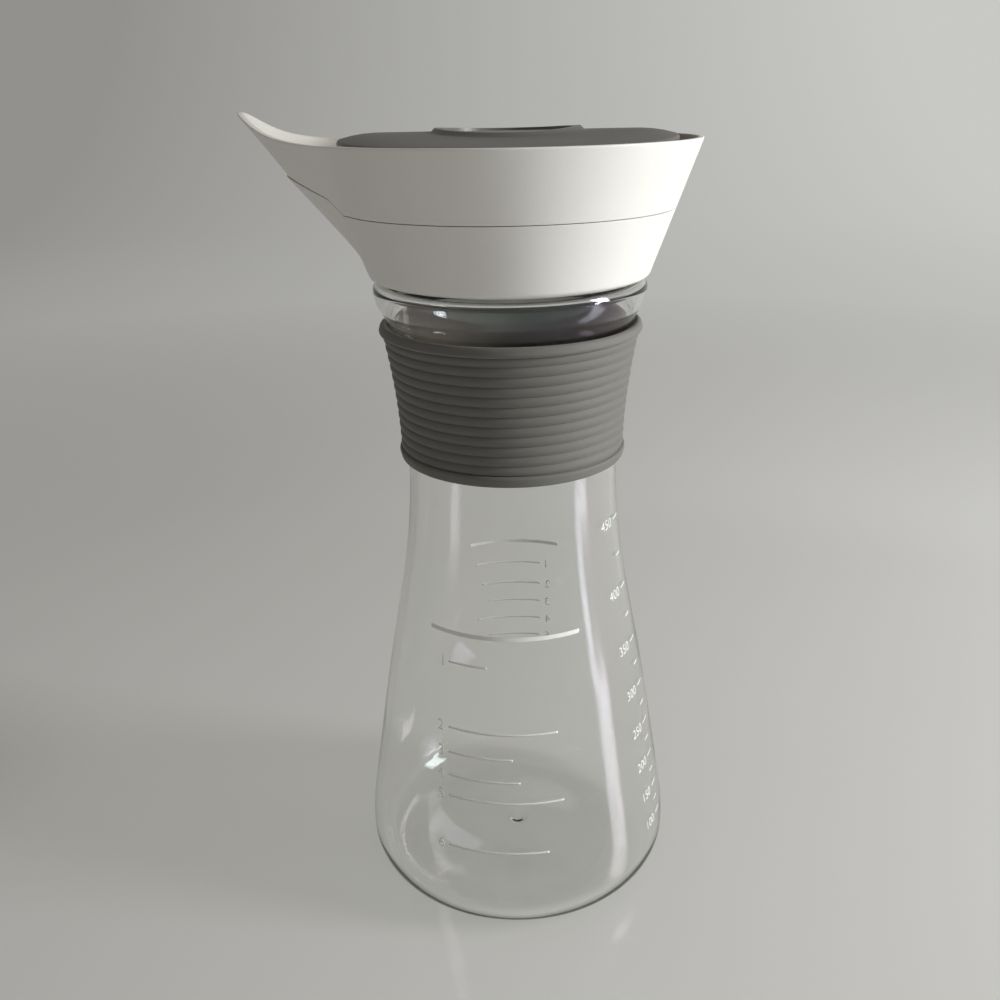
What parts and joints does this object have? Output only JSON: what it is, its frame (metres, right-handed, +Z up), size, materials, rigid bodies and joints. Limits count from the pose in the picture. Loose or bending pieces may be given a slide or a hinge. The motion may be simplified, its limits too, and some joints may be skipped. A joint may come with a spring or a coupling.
{
  "type": "salad dressing shaker",
  "caption": "Clear hourglass shaker bottle with a ribbed grip sleeve and a screw-on pouring lid with a spout and a rocking round flap.",
  "frame": {"origin": "on the bottle's axis, in the plane that the foot stands on", "axes": "+Z up along the bottle, the pouring spout points along -X"},
  "size_m": [0.1126, 0.0944, 0.216],
  "materials": {
    "clear_plastic": "clear, glossy",
    "grip_rubber": "matt, soft",
    "seal_rubber": "matt, translucent",
    "lid_plastic": "satin",
    "flap_plastic": "satin",
    "badge_plastic": "satin",
    "pin_steel": "drawn wire"
  },
  "bodies": {
    "bottle_body": {"bottle": "clear_plastic", "grip_sleeve": "grip_rubber"},
    "gasket_body": {"neck_gasket": "seal_rubber"},
    "lid_body": {"screw_collar": "lid_plastic", "pour_funnel": "lid_plastic", "hinge_pin_back": "pin_steel", "hinge_pin_front": "pin_steel"},
    "flap_body": {"flap_cover": "flap_plastic", "flap_carrier": "lid_plastic", "flap_badge": "badge_plastic", "pour_seal": "seal_rubber"}
  },
  "joints": [
    {"name": "lid_lift", "type": "slide", "parent": "bottle_body", "child": "gasket_body", "axis": [0, 0, 1], "range_m": [0, 0.015]},
    {"name": "lid_turn", "type": "hinge", "parent": "gasket_body", "child": "lid_body", "pos_m": [0, 0, 0.184], "axis": [0, 0, 1], "range_deg": [0, 900]},
    {"name": "flap_tilt", "type": "hinge", "parent": "lid_body", "child": "flap_body", "pos_m": [0.012, 0, 0.2024], "axis": [0, 1, 0], "range_deg": [0, 14]}
  ],
  "couplings": [
    {"joint": "lid_lift", "follows": "lid_turn", "m_per_rad": 0.00095493}
  ]
}
